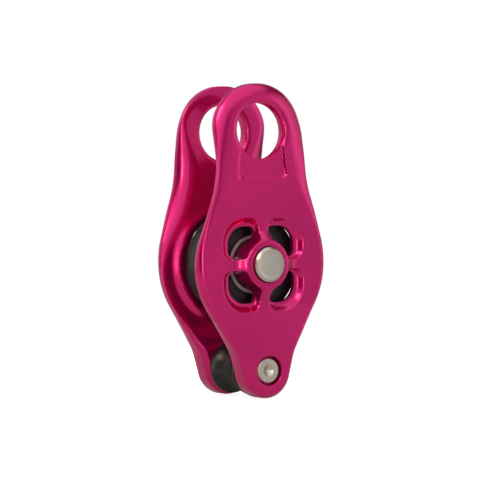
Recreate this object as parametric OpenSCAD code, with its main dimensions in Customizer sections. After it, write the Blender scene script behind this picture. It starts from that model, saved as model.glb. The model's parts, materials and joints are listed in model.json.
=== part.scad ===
// Rope pulley with fixed side plates, a sheave on two sealed ball bearings and a becket spacer.
// The origin is the centre of the attachment eye on the mid-plane. +Z points up along the plates,
// Y runs along the axle, and the front side plate faces -Y.

/* [Layout] */
// Distance from the attachment eye's centre down to the axle
axle_drop = 45.2; // [44.5:0.1:46]
// Distance from the axle down to the becket bolt
bolt_drop = 36; // [35.5:0.1:36.5]

/* [Side plates] */
// Distance from the mid-plane to the plates' inner faces
plate_inner = 9.1; // [8.9:0.1:9.2]
// Distance from the mid-plane to the plates' outer faces, beside the axle
plate_outer = 14.2; // [13.9:0.1:14.5]
// Greatest width of the plates, across the axle
plate_width = 51.8; // [50:0.1:53]
// Radius of the attachment eye's wall
eye_r = 9.6; // [9:0.1:10]
// Radius of the rolled rims of the attachment eye
eye_rim_r = 1.6; // [1:0.1:1.8]
// Depth of the flat recess below the eye
recess_depth = 0.9; // [0.4:0.1:1.2]

/* [Plate bosses] */
// Distance from the mid-plane to the axle boss's outer face
boss_outer = 16.9; // [16:0.1:17.5]
// Radius of the axle boss's outer face
boss_r = 8.3; // [7.8:0.1:8.6]
// Distance from the mid-plane to the nose's inner face
nose_inner = 7.5; // [7:0.1:8]
// Distance from the mid-plane to the nose's outer face
nose_outer = 16.3; // [16:0.1:16.6]

/* [Sheave] */
// Radius of the sheave's flanges
sheave_r = 17.5; // [17:0.1:17.8]
// Radius of the sheave at the root of the rope groove
groove_root_r = 12.8; // [12.4:0.1:13.5]
// Half of the rope groove's width at the flanges
groove_half = 7; // [6.5:0.1:7.2]

/* [Bearings] */
// Bore radius of the bearings, which is the axle's radius
bearing_bore_r = 4.5; // [4.4:0.05:4.6]
// Outer radius of the bearings
bearing_r = 10; // [9.8:0.1:10.2]
// Width of each bearing
bearing_w = 6; // [5.8:0.1:6.1]
// Ball radius
ball_r = 1.5875; // [1.5:0.0125:1.6]
// Number of balls in each bearing
ball_count = 9; // [7:1:9]

/* [Fasteners] */
// Radius of the axle's heads
axle_head_r = 5.95; // [5.7:0.05:6]
// Distance from the mid-plane to the axle's head faces
axle_head_outer = 18.5; // [17.8:0.1:19]
// Radius of the becket bolt's shank
bolt_r = 3; // [2.5:0.1:3.2]
// Radius of the becket bolt's head and nut
bolt_head_r = 4.45; // [4.2:0.05:4.6]

/* [Becket spacer] */
// Radius of the becket spacer's flanges
spacer_r = 8.8; // [8.4:0.1:9]
// Radius of the becket spacer's waist
spacer_waist_r = 5.6; // [5:0.1:6.5]

/* [Hidden] */
$fn = 96;

front = -1;
rear = 1;
eps = 0.01;
fit = 0.02;      // radial gap of parts that are pressed or fixed together
run = 0.08;      // radial gap of parts that run on each other
slack = 0.1;     // radial gap of a shank in its hole

axle_z = -axle_drop;
bolt_z = axle_z - bolt_drop;

// Side plate outline, measured from the axle.
top_z = 61.5;
top_half = 17.5;
top_r = 16.9;
waist_z = 28.7;
waist_half = 17.8;
waist_r = 40;
cheek_z = -3.6;
cheek_half = plate_width / 2 + 2.8;
cheek_r = 28.1;
neck_z = -30.3;
neck_half = 11.3;
neck_r = 13.3;
chin_z = -bolt_drop - 9.4;
chin_half = 7.2;
chin_r = 9.3;
arc_steps = 10;
side_steps = 4;
edge_steps = 3;

// Shape of the plate's faces and edge: how far the outer face stands out at the waist and drops
// at the head, where the edge's wall lies at each, and how wide the edge is rolled.
waist_rise = 0.5;
head_fall = 0.8;
cheek_wall = 11.1;
waist_wall = 13.5;
head_wall = 10.4;
nose_wall = 11.8;
wall_half = 0.75;
waist_wall_half = 0.45;
nose_wall_half = 2.15;
narrow_roll = 1.6;
wide_roll = 7.6;
cheek_inner_roll = 4;
nose_inner_roll = 1.8;
head_outer_roll = 6;

rim_face_angle = 30;
rim_overlap = 0.05;

// Nose pad, which thickens the plate's inner side round the bolt.
pad_r = chin_r - 0.15;
pad_edge = 0.8;
pad_top = nose_wall;
pad_ramp_half = 8.4;
pad_ramp_low = 6.5;
pad_ramp_high = 10.5;

// Windows between the spokes: the opening in the outer face, then the lip that a hollow ledge leads to.
spoke_half_x = 2.2;
spoke_half_z = 2;
window_hub_r = 8.6;
window_root_r = 2.4;
window_root_angle = 28;
window_x = 16.3;
window_z = 15.9;
window_corner_r = 8.6;
window_end_r = 3.1;
lip_x = 13.5;
lip_z = 13.1;
lip_corner_r = 6.3;
lip_end_r = 2.4;
lip_draft = 0.4;
lip_height = 12.2;
opening_edge = 0.25;  // how far below the face the ledge has become upright
window_steps = 6;
ledge_steps = 3;

recess_top_z = -4.3;
recess_bottom_z = -16.4;
recess_top_half = 8.75;
recess_bottom_half = 10.4;
recess_top_r = 0.5;
recess_bottom_r = 2.6;
recess_steps = 4;

pocket_r = 18.3;
pocket_depth = 1.3;
guard_lip = 0.4;
guard_flat = 1.8;
guard_slope = 2.2;
inner_boss_r = 8;
boss_slope = 0.88;    // fall of the spokes' ramps for each mm outwards
boss_root = 1;        // how far the boss reaches into the plate
bearing_outer_face = 7.85;
shim_t = 0.3;
boss_inner = bearing_outer_face + shim_t;

head_seat = 12;
head_hole_r = 6.22;
head_chamfer = 0.75;
spigot_r = 3;
spigot_end = 16.5;

bearing_mid = bearing_outer_face - bearing_w / 2;
bearing_inner_face = bearing_outer_face - bearing_w;
pitch_r = (bearing_bore_r + bearing_r) / 2;
raceway_r = ball_r * 1.04;
race_gap = 0.95;   // from the pitch circle to each race's shoulder
seal_seat_r = 8.9;
seal_seat_w = 0.8;
seal_t = 0.5;
seal_inset = 0.15;
cage_half = 1.9;
cage_t = 1.1;
washer_r = 6.15;

sheave_half = 7.9;
groove_r = (groove_half * groove_half + pow(sheave_r - groove_root_r, 2))
    / (2 * (sheave_r - groove_root_r));
shoulder_r = 9.2;

bolt_seat = 12.2;
bolt_head_outer = 15.6;
bolt_hole_r = 5.1;
bolt_chamfer = 0.5;
bolt_end = 14.2;
dimple_r = 2;
dimple_depth = 1.3;
spacer_rim = 1.7;
spacer_edge = 0.4;

// ---- outlines ----

function unit(v) = v / norm(v);
function side(v) = [-v.y, v.x];
function turn(a, p, b) = cross(p - a, b - p) > 0 ? 1 : -1;
function at(path, i) = path[(i + len(path)) % len(path)];
function flat2(v) = [v.x, v.y];

// A corner of a path is [x, y, radius], and a path runs anticlockwise.
// The same path moved inwards by d, with its arcs kept concentric.
function inset(path, d) = [
    for (i = [0:len(path) - 1])
        let (
            a = flat2(at(path, i - 1)),
            p = flat2(path[i]),
            b = flat2(at(path, i + 1)),
            m = side(unit(p - a)),
            n = side(unit(b - p)),
            q = p + d * (m + n) / (1 + m * n)
        )
        [q.x, q.y, path[i].z - d * turn(a, p, b)]
];

// Points of the arc that rounds corner i of a path.
function corner_arc(path, i, steps) =
    let (
        a = flat2(at(path, i - 1)),
        p = flat2(at(path, i)),
        b = flat2(at(path, i + 1)),
        u = unit(a - p),
        w = unit(b - p),
        half = acos(u * w) / 2,
        r = at(path, i).z,
        c = p + unit(u + w) * r / sin(half),
        s = p + u * r / tan(half) - c,
        sweep = (180 - 2 * half) * turn(a, p, b)
    )
    [for (k = [0:steps]) let (t = atan2(s.y, s.x) + sweep * k / steps) c + r * [cos(t), sin(t)]];

// Points along a path with each corner turned into an arc of that many steps. The straight sides
// are split into side_steps too, except those along x.
function rounded(path, steps, side_steps = 1) = [
    for (i = [0:len(path) - 1])
        let (
            arc = corner_arc(path, i, steps),
            last = arc[steps],
            next = corner_arc(path, i + 1, steps)[0],
            splits = abs(next.y - last.y) > eps ? side_steps : 1
        )
        for (k = [0:steps + splits - 1])
            k <= steps ? arc[k] : last + (next - last) * (k - steps) / splits
];

// A right half given from the bottom up, joined to its mirror image.
function both_halves(half) = concat(half, [
    for (i = [len(half) - 1:-1:0]) [-half[i].x, half[i].y, half[i].z]
]);

function plate_path() = both_halves([
    [chin_half, axle_z + chin_z, chin_r],
    [neck_half, axle_z + neck_z, neck_r],
    [cheek_half, axle_z + cheek_z, cheek_r],
    [waist_half, axle_z + waist_z, waist_r],
    [top_half, axle_z + top_z, top_r]
]);

function recess_path() = both_halves([
    [recess_bottom_half, recess_bottom_z, recess_bottom_r],
    [recess_top_half, recess_top_z, recess_top_r]
]);

// One window in the upper right quarter, measured from the axle: its outer side, then its hub side.
function window_path(hub_r, spoke_x, spoke_z, reach_x, reach_z, corner_r, end_r) =
    let (
        middle_r = hub_r / cos(45 - window_root_angle),
        root_sin = sin(window_root_angle),
        root_cos = cos(window_root_angle)
    )
    [
        [reach_x, spoke_z, end_r],
        [reach_x, reach_z, corner_r],
        [spoke_x, reach_z, end_r],
        [spoke_x, (hub_r - spoke_x * root_sin) / root_cos, window_root_r],
        [middle_r * cos(45), middle_r * sin(45), hub_r],
        [(hub_r - spoke_z * root_sin) / root_cos, spoke_z, window_root_r]
    ];

// ---- faces and edge of the plate, at a height z above the axle ----

// Eases from 0 to 1 as t goes from 0 to 1.
function ease(t) = let (u = min(1, max(0, t))) u * u * (3 - 2 * u);

// 1 between low and high, fading to 0 below over one distance and above over another.
function between(z, low, high, fade_low, fade_high) =
    ease((z - low) / fade_low + 1) * ease((high - z) / fade_high + 1);

function at_waist(z) = between(z, 22, 32, 27, 18);
function at_nose(z) = ease((-22 - z) / 10);
function at_head(z) = ease((z - 42) / 10);

function outer_face(z) =
    plate_outer + waist_rise * ease((z - 12) / 14) - head_fall * ease((z - 34) / 18)
    + (nose_outer - plate_outer) * ease((-12 - z) / 18);

function wall_middle(z) =
    cheek_wall + (waist_wall - cheek_wall) * at_waist(z) + (head_wall - cheek_wall) * at_head(z)
    + (nose_wall - cheek_wall) * at_nose(z);

function wall_reach(z) =
    wall_half + (waist_wall_half - wall_half) * at_waist(z) + (nose_wall_half - wall_half) * at_nose(z);

function outer_roll(z) = narrow_roll + (head_outer_roll - narrow_roll) * ease((z - 12) / 28);

function inner_roll(z) =
    cheek_inner_roll + (wide_roll - cheek_inner_roll) * between(z, 20, 32, 20, 16)
    + (nose_inner_roll - cheek_inner_roll) * at_nose(z);

function share_of_wide(width) = (width - narrow_roll) / (wide_roll - narrow_roll);

// The outline's points moved in by a part of the roll's width, which differs along the outline.
function rolled_in(part, outer) =
    let (
        edge = rounded(plate_path(), arc_steps, side_steps),
        narrow = rounded(inset(plate_path(), narrow_roll * part), arc_steps, side_steps),
        wide = rounded(inset(plate_path(), wide_roll * part), arc_steps, side_steps)
    )
    [
        for (i = [0:len(edge) - 1])
            let (z = edge[i].y - axle_z, share = share_of_wide(outer ? outer_roll(z) : inner_roll(z)))
            concat(narrow[i] + (wide[i] - narrow[i]) * share, z)
    ];

// Rings of the outer and the inner rolled edge, a quarter of an ellipse from the wall to the face.
function outer_ring(a) = [
    for (p = rolled_in(1 - cos(a), true))
        let (depth = outer_face(p.z) - wall_middle(p.z) - wall_reach(p.z))
        [p.x, p.y, outer_face(p.y - axle_z) - depth * (1 - sin(a))]
];

function inner_ring(a) = [
    for (p = rolled_in(1 - cos(a), false))
        let (depth = wall_middle(p.z) - wall_reach(p.z) - plate_inner)
        [p.x, p.y, plate_inner + depth * (1 - sin(a))]
];

// ---- solids ----

function raised(points, height) = [for (p = points) [p.x, p.y, height]];

// A closed solid through rings of equal, even length.
// Each end is closed in strips, so point i of a ring lies across from point i before its end.
module loft(rings) {
    n = len(rings[0]);
    last = (len(rings) - 1) * n;
    polyhedron(
        points = [for (ring = rings) for (p = ring) p],
        faces = concat(
            [for (i = [0:n / 2 - 2]) [i, i + 1, n - 2 - i, n - 1 - i]],
            [for (i = [0:n / 2 - 2]) [last + n - 1 - i, last + n - 2 - i, last + i + 1, last + i]],
            [
                for (k = [0:n:last - n]) for (i = [0:n - 1])
                    let (j = (i + 1) % n)
                    for (half = [[k + i, k + n + i, k + n + j], [k + i, k + n + j, k + j]])
                        half
            ]
        ),
        convexity = 8
    );
}

// Puts a shape drawn with x across, y up and z outwards on the front or the rear side.
module on_side(which) {
    if (which == front) rotate([90, 0, 0]) children();
    else mirror([0, 1, 0]) rotate([90, 0, 0]) children();
}

module at_axle() {
    translate([0, axle_z, 0]) children();
}

module at_bolt() {
    translate([0, bolt_z, 0]) children();
}

module ring(inner_r, outer_r, low, high) {
    translate([0, 0, low])
        difference() {
            cylinder(r = outer_r, h = high - low);
            translate([0, 0, -eps]) cylinder(r = inner_r, h = high - low + 2 * eps);
        }
}

module chamfered_head(r, low, high, chamfer) {
    translate([0, 0, low]) cylinder(r = r, h = high - low - chamfer);
    translate([0, 0, high - chamfer]) cylinder(r1 = r, r2 = r - chamfer, h = chamfer);
}

// The plate's slab, with its inner and outer edges rolled.
module plate_slab() {
    loft(concat(
        [for (k = [0:edge_steps]) inner_ring(90 - 90 * k / edge_steps)],
        [for (k = [0:edge_steps]) outer_ring(90 * k / edge_steps)]
    ));
}

// The nose stands in on the inner side and ramps back to the slab above the bolt.
module nose_pad() {
    at_bolt() {
        translate([0, 0, nose_inner]) cylinder(r1 = pad_r - pad_edge, r2 = pad_r, h = pad_edge);
        translate([0, 0, nose_inner + pad_edge]) cylinder(r = pad_r, h = pad_top - nose_inner - pad_edge);
        translate([-pad_ramp_half, 0, 0])
            rotate([90, 0, 90])
                linear_extrude(height = 2 * pad_ramp_half)
                    polygon([
                        [0, nose_inner], [pad_ramp_low, nose_inner], [pad_ramp_high, plate_inner + eps],
                        [pad_ramp_high, pad_top], [0, pad_top]
                    ]);
    }
}

// Rounds the eye's rim where its wall meets a face at height 0. The round is crisp at the face.
module rim_cut() {
    centre_r = eye_r + eye_rim_r - rim_overlap;
    depth = eye_rim_r * cos(rim_face_angle);
    rotate_extrude()
        difference() {
            translate([eye_r - 1, -depth]) square([centre_r - eye_r + 1, depth + 1]);
            translate([centre_r, -depth]) circle(r = eye_rim_r);
        }
}

// Cuts the eye with its rolled rims on both faces. The outer rim leans with the face.
module eye_cut() {
    low = outer_face(axle_drop - eye_r);
    high = outer_face(axle_drop + eye_r);
    translate([0, 0, plate_inner - 1]) cylinder(r = eye_r, h = plate_outer + waist_rise - plate_inner + 2);
    translate([0, 0, (low + high) / 2]) rotate([atan2(high - low, 2 * eye_r), 0, 0]) rim_cut();
    translate([0, 0, plate_inner]) mirror([0, 0, 1]) rim_cut();
}

// A raised ring round the sheave's pocket, which keeps the rope from jamming beside the sheave.
module guard_ring() {
    rotate_extrude()
        polygon([
            [pocket_r - guard_lip, plate_inner - guard_lip],
            [pocket_r + guard_flat, plate_inner - guard_lip],
            [pocket_r + guard_flat + guard_slope, plate_inner],
            [pocket_r + guard_flat + guard_slope, plate_inner + guard_lip],
            [pocket_r - guard_lip, plate_inner + guard_lip]
        ]);
}

// The axle boss slopes gently to its shoulder, then ramps down along the spokes to the face.
module boss() {
    foot = plate_outer - boss_root;
    rotate_extrude()
        polygon([
            [0, foot], [boss_r + (boss_outer - foot) / boss_slope, foot],
            [boss_r, boss_outer], [0, boss_outer]
        ]);
}

// The ledge is hollowed from the lip up to the opening, where it stands upright.
module window_cut() {
    ledge_h = plate_outer - opening_edge - lip_height;
    opening = rounded(window_path(window_hub_r, spoke_half_x, spoke_half_z,
                                  window_x, window_z, window_corner_r, window_end_r), window_steps);
    lip = rounded(window_path(window_hub_r + lip_draft, spoke_half_x + lip_draft, spoke_half_z + lip_draft,
                              lip_x, lip_z, lip_corner_r, lip_end_r), window_steps);
    loft(concat(
        [raised(lip, plate_inner - 1)],
        [
            for (k = [0:ledge_steps])
                let (a = 90 * k / ledge_steps)
                raised(lip + (opening - lip) * sin(a), lip_height + ledge_h * (1 - cos(a)))
        ],
        [raised(opening, boss_outer + 1)]
    ));
}

module windows_cut() {
    for (mx = [0, 1], my = [0, 1])
        at_axle() mirror([mx, 0, 0]) mirror([0, my, 0]) window_cut();
}

module side_plate() {
    recess_floor = plate_outer + waist_rise - recess_depth;
    difference() {
        union() {
            plate_slab();
            nose_pad();
            at_axle() {
                guard_ring();
                boss();
            }
        }
        eye_cut();
        translate([0, 0, recess_floor])
            linear_extrude(height = recess_depth + 1)
                polygon(rounded(recess_path(), recess_steps));
        at_axle() ring(inner_boss_r, pocket_r, plate_inner - 1, plate_inner + pocket_depth);
        windows_cut();
        at_axle() {
            translate([0, 0, head_seat]) cylinder(r = head_hole_r, h = boss_outer);
            cylinder(r = bearing_bore_r + slack, h = boss_outer + 1);
        }
        at_bolt() {
            translate([0, 0, bolt_seat]) cylinder(r = bolt_hole_r, h = nose_outer);
            cylinder(r = bolt_r + slack, h = nose_outer + 1);
        }
    }
    // Inner boss, which carries the shim washer.
    at_axle() ring(bearing_bore_r + slack, inner_boss_r, boss_inner, plate_inner + pocket_depth);
}

module front_side_plate() { color([0.78, 0.07, 0.40]) on_side(front) side_plate(); }
module rear_side_plate() { color([0.78, 0.07, 0.40]) on_side(rear) side_plate(); }

module main_axle() {
    color([0.72, 0.70, 0.66])
        on_side(front) at_axle() {
            chamfered_head(axle_head_r, head_seat, axle_head_outer, head_chamfer);
            translate([0, 0, -head_seat + slack])
                cylinder(r = bearing_bore_r, h = 2 * head_seat - slack + eps);
            translate([0, 0, -spigot_end]) cylinder(r = spigot_r, h = spigot_end);
        }
}

module axle_end_cap() {
    color([0.72, 0.70, 0.66])
        on_side(rear) at_axle()
            difference() {
                chamfered_head(axle_head_r, head_seat, axle_head_outer, head_chamfer);
                translate([0, 0, head_seat - eps])
                    cylinder(r = spigot_r + fit, h = spigot_end - head_seat + slack);
            }
}

module sheave() {
    color([0.16, 0.15, 0.15])
        on_side(front) at_axle()
            rotate_extrude()
                difference() {
                    translate([shoulder_r, -sheave_half]) square([sheave_r - shoulder_r, 2 * sheave_half]);
                    translate([groove_root_r + groove_r, 0]) circle(r = groove_r);
                    for (s = [-1, 1])
                        translate([0, s > 0 ? bearing_inner_face : -sheave_half - 1])
                            square([bearing_r + fit, sheave_half - bearing_inner_face + 1]);
                }
}

// A raceway: a round groove of the pitch circle's radius in a ring's section.
module raceway() {
    translate([pitch_r, bearing_mid]) circle(r = raceway_r, $fn = 48);
}

module outer_race(which) {
    color([0.85, 0.85, 0.84])
        on_side(which) at_axle()
            rotate_extrude()
                difference() {
                    translate([pitch_r + race_gap, bearing_inner_face])
                        square([bearing_r - pitch_r - race_gap, bearing_w]);
                    translate([pitch_r, bearing_mid]) circle(r = raceway_r + run, $fn = 48);
                    for (low = [bearing_inner_face - 1, bearing_outer_face - seal_seat_w])
                        translate([0, low]) square([seal_seat_r, seal_seat_w + 1]);
                }
}

module inner_race(which) {
    color([0.85, 0.85, 0.84])
        on_side(which) at_axle()
            rotate_extrude()
                difference() {
                    translate([bearing_bore_r + fit, bearing_inner_face])
                        square([pitch_r - race_gap - bearing_bore_r - fit, bearing_w]);
                    translate([pitch_r, bearing_mid]) circle(r = raceway_r + run, $fn = 48);
                }
}

module balls(which) {
    color([0.9, 0.9, 0.9])
        on_side(which) at_axle()
            for (i = [0:ball_count - 1])
                rotate([0, 0, i * 360 / ball_count])
                    translate([pitch_r, 0, bearing_mid]) sphere(r = ball_r, $fn = 48);
}

module cage(which) {
    color([0.75, 0.58, 0.28])
        on_side(which) at_axle()
            difference() {
                ring(pitch_r - cage_t / 2, pitch_r + cage_t / 2,
                     bearing_mid - cage_half, bearing_mid + cage_half);
                for (i = [0:ball_count - 1])
                    rotate([0, 0, i * 360 / ball_count])
                        translate([pitch_r - 2, 0, bearing_mid])
                            rotate([0, 90, 0]) cylinder(r = ball_r + run, h = 4);
            }
}

// A rubber lip seal: it sits in the outer race and its lip runs just clear of the inner race.
module seal(which, low) {
    color([0.08, 0.08, 0.08])
        on_side(which) at_axle()
            ring(pitch_r - race_gap + run, seal_seat_r - fit, low, low + seal_t);
}

module outer_seal(which) { seal(which, bearing_outer_face - seal_t - seal_inset); }
module inner_seal(which) { seal(which, bearing_inner_face + seal_inset); }

module front_bearing_outer_race() { outer_race(front); }
module front_bearing_inner_race() { inner_race(front); }
module front_bearing_balls() { balls(front); }
module front_bearing_cage() { cage(front); }
module front_bearing_outer_seal() { outer_seal(front); }
module front_bearing_inner_seal() { inner_seal(front); }
module rear_bearing_outer_race() { outer_race(rear); }
module rear_bearing_inner_race() { inner_race(rear); }
module rear_bearing_balls() { balls(rear); }
module rear_bearing_cage() { cage(rear); }
module rear_bearing_outer_seal() { outer_seal(rear); }
module rear_bearing_inner_seal() { inner_seal(rear); }

module inner_race_spacer() {
    color([0.6, 0.6, 0.62])
        on_side(front) at_axle()
            ring(bearing_bore_r + fit, washer_r, -bearing_inner_face, bearing_inner_face);
}

module shim_washer(which) {
    color([0.75, 0.75, 0.76])
        on_side(which) at_axle()
            ring(bearing_bore_r + fit, washer_r, bearing_outer_face, boss_inner);
}

module front_shim_washer() { shim_washer(front); }
module rear_shim_washer() { shim_washer(rear); }

// A spool whose sides curve in to the waist between two flanges.
module becket_spacer() {
    waist_half = nose_inner - spacer_rim;
    sag = spacer_r - spacer_edge - spacer_waist_r;
    hollow_r = (waist_half * waist_half + sag * sag) / (2 * sag);
    color([0.13, 0.13, 0.13])
        on_side(front) at_bolt()
            rotate_extrude()
                difference() {
                    translate([bolt_r + slack, -nose_inner])
                        square([spacer_r - bolt_r - slack, 2 * nose_inner]);
                    intersection() {
                        translate([spacer_waist_r + hollow_r, 0]) circle(r = hollow_r);
                        translate([0, -waist_half]) square([spacer_r + 1, 2 * waist_half]);
                    }
                }
}

module becket_bolt() {
    color([0.72, 0.70, 0.66])
        on_side(front) at_bolt()
            difference() {
                union() {
                    chamfered_head(bolt_head_r, bolt_seat, bolt_head_outer, bolt_chamfer);
                    translate([0, 0, -bolt_end]) cylinder(r = bolt_r, h = bolt_end + bolt_seat + eps);
                }
                translate([0, 0, bolt_head_outer - dimple_depth])
                    cylinder(r1 = 0, r2 = dimple_r * (1 + eps), h = dimple_depth * (1 + eps));
            }
}

module becket_nut() {
    color([0.72, 0.70, 0.66])
        on_side(rear) at_bolt()
            difference() {
                chamfered_head(bolt_head_r, bolt_seat, bolt_head_outer, bolt_chamfer);
                translate([0, 0, bolt_seat - eps])
                    cylinder(r = bolt_r + fit, h = bolt_end - bolt_seat + slack);
            }
}

front_side_plate();
rear_side_plate();
main_axle();
axle_end_cap();
sheave();
front_bearing_outer_race();
front_bearing_inner_race();
front_bearing_balls();
front_bearing_cage();
front_bearing_outer_seal();
front_bearing_inner_seal();
rear_bearing_outer_race();
rear_bearing_inner_race();
rear_bearing_balls();
rear_bearing_cage();
rear_bearing_outer_seal();
rear_bearing_inner_seal();
inner_race_spacer();
front_shim_washer();
rear_shim_washer();
becket_spacer();
becket_bolt();
becket_nut();
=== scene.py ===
"""Rope pulley: detailed side plates, turned parts, materials, light and camera round the CAD frame.

Every shape is drawn in millimetres in the side plates' own drawing frame: x across the plate,
z upwards from the attachment eye, and h outwards from the mid-plane. The front side is at -Y.
"""
import json
import math

import bmesh
import bpy
import numpy as np
from mathutils import Matrix, Vector
from mathutils.geometry import delaunay_2d_cdt

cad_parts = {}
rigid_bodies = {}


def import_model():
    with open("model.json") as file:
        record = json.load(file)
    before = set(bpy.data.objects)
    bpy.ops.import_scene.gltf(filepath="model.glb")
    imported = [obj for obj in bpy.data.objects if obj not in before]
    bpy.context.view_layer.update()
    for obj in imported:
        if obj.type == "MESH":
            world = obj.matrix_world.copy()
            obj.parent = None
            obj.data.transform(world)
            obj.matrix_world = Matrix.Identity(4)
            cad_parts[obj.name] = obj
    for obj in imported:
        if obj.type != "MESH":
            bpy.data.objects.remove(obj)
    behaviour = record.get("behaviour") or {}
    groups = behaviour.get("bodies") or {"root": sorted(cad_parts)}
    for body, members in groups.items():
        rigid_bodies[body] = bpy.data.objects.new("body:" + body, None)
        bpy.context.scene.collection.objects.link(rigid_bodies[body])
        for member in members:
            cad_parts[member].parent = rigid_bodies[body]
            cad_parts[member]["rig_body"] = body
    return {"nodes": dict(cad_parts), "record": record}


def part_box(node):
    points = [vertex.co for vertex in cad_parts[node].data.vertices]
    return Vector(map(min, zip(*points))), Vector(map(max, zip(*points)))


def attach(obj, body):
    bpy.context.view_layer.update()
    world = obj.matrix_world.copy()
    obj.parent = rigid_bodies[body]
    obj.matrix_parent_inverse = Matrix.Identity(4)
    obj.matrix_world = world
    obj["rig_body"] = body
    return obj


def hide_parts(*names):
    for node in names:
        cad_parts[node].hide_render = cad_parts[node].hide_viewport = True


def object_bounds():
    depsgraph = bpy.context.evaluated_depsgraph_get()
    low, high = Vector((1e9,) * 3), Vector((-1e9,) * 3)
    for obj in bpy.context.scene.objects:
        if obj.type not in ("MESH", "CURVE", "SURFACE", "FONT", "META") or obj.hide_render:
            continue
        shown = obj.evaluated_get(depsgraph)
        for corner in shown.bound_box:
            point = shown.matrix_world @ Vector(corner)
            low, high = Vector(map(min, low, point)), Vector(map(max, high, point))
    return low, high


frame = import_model()
CAD_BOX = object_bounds()

MM = 0.001
FRONT = -1
REAR = 1


# ---- sizes taken from the frame, in mm ----

def box_mm(node):
    """Lowest and highest corner of a CAD node, in mm."""
    low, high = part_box(node)
    return low / MM, high / MM


def radius_of(node):
    """Radius of a turned CAD node, in mm."""
    low, high = box_mm(node)
    return (high.x - low.x) / 2


AXLE_Z = (box_mm("main_axle")[0].z + box_mm("main_axle")[1].z) / 2
BOLT_Z = (box_mm("becket_bolt")[0].z + box_mm("becket_bolt")[1].z) / 2
EYE_R = frame["record"]["mounts"][0]["dims"]["r_mm"]
PLATE_HALF_WIDTH = box_mm("front_side_plate")[1].x
BOSS_OUTER = -box_mm("front_side_plate")[0].y
NOSE_INNER = -box_mm("front_side_plate")[1].y
AXLE_HEAD_OUTER = -box_mm("main_axle")[0].y
AXLE_HEAD_R = radius_of("main_axle")
SPIGOT_END = box_mm("main_axle")[1].y
SHEAVE_R = radius_of("sheave")
SHEAVE_HALF = box_mm("sheave")[1].y
RACE_R = radius_of("front_bearing_outer_race")
RACE_FACE = box_mm("rear_bearing_outer_race")[1].y
RACE_BACK = box_mm("rear_bearing_outer_race")[0].y
SPACER_R = radius_of("becket_spacer")
BOLT_HEAD_R = radius_of("becket_bolt")
BOLT_HEAD_OUTER = -box_mm("becket_bolt")[0].y
BOLT_END = box_mm("becket_bolt")[1].y

# ---- side plate, in mm ----

# Corners of the plate's right half from the bottom up: x, height above the axle, corner radius.
NOSE_R = 9.3
OUTLINE = (
    (7.2, BOLT_Z - AXLE_Z - 9.4, NOSE_R),
    (11.3, -30.3, 13.3),
    (PLATE_HALF_WIDTH + 2.8, -3.6, 28.1),
    (17.8, 28.7, 40),
    (17.5, 61.5, 16.9),
)
FACE_OUTER = 14.2
FACE_INNER = 9.2
NOSE_OUTER = 16.3
WAIST_RISE = 0.5
HEAD_FALL = 0.8

# Heights above the axle where a change starts, and the height that it takes.
WAIST_LEVEL = (12, 14)
HEAD_LEVEL = (34, 18)
NOSE_LEVEL = (-12, 18)
HEAD_WALL = (42, 10)
HEAD_ROLL = (12, 28)
NOSE_EDGE = (-22, 10)
# Heights above the axle between which something is full, then its blends below and above them.
WAIST_WALL = (22, 32, 27, 18)
WAIST_ROLL = (20, 32, 20, 16)
VALLEY = (-16, 4, 8, 14)
NOSE_PAD = (12, 6)     # height above the bolt where the inner nose pad starts, and its blend's height

# The outline's edge: each plain value, and what the waist, the head and the nose add to it.
WALL_MIDDLE = {"plain": 11.1, "waist": 2.4, "head": -0.7, "nose": 0.7}
WALL_HALF = {"plain": 0.75, "waist": -0.3, "nose": 1.4}
OUTER_ROLL = {"plain": 1.6, "head": 4.2, "nose": 0.4}
INNER_ROLL = {"plain": 2.6, "waist": 5.0, "nose": -0.8}
ROLL_STEPS = 9
ROLL_POWER = 1.2       # 1 gives a quarter of an ellipse, more gives a flatter slope between its ends

# Rolled edges of the eye: width and depth.
EYE_ROLL = (1.8, 1.0)
INNER_EYE_ROLL = (2.2, 1.0)

RECESS_DEPTH = 0.9
RECESS_WALL = 0.8      # width of the recess's sloping wall
RECESS_BOTTOM_Z = -16.4
RECESS_TIP_Z = -4.3
RECESS_TOP_Z = RECESS_TIP_Z + 1
RECESS_TOP_FADE = 1.5
RECESS_HALF = {"bottom": 10.4, "tip": 8.75}
RECESS_R = 2.6
RECESS_EYE_GAP = 0.03  # nearest that the recess's lines come to the eye
RECESS_LINES = 7       # lines that the face's triangles follow down the recess's wall

# Axle boss: a flat crest, then a ramp down the spokes to the face.
BOSS_CREST_R = 8.3
BOSS_SLOPE = 0.88
BOSS_CREST_BLEND = 0.25
BOSS_FOOT_BLEND = 0.6

# Counterbored holes: radius, height of the seat, radius of the bore and radius of the broken edge.
AXLE_HOLE = {"r": 6.22, "seat": 12.0, "bore": 4.6, "edge": 0.22}
BOLT_HOLE = {"r": 5.1, "seat": 12.2, "bore": 3.1, "edge": 0.35}
HOLE_EDGE_STEPS = 4

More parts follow.
